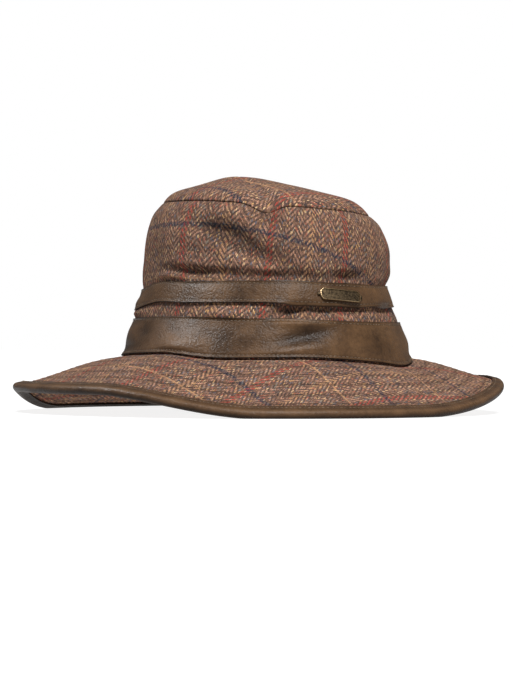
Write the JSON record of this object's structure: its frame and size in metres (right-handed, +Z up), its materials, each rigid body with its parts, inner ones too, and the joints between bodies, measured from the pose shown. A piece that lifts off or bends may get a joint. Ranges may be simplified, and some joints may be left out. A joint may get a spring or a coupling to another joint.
{
  "type": "tweed hat",
  "caption": "Brimmed hat with a soft round crown, a leather band and a wider leather band, a brass badge and a leather-bound brim turned up at the sides",
  "frame": {"origin": "on the surface that the hat rests on, under the middle of the brim's outline", "axes": "+Z up, -Y to the front of the hat, -X to the wearer's right"},
  "size_m": [0.3038, 0.335, 0.1516],
  "materials": {
    "tweed": "brown herringbone wool tweed with a fine red, camel and navy overcheck",
    "tweed_under": "the same tweed on the shaded under side of the brim",
    "leather": "waxed olive brown leather, stitched along its edges",
    "brass": "antique brass with a polished raised rim and a dark bare face"
  },
  "bodies": {
    "root": {"crown_side": "tweed", "crown_tip": "tweed", "brim_upper": "tweed", "brim_under": "tweed_under", "brim_binding": "leather", "wide_band": "leather", "narrow_band": "leather", "badge": "brass"}
  },
  "joints": []
}
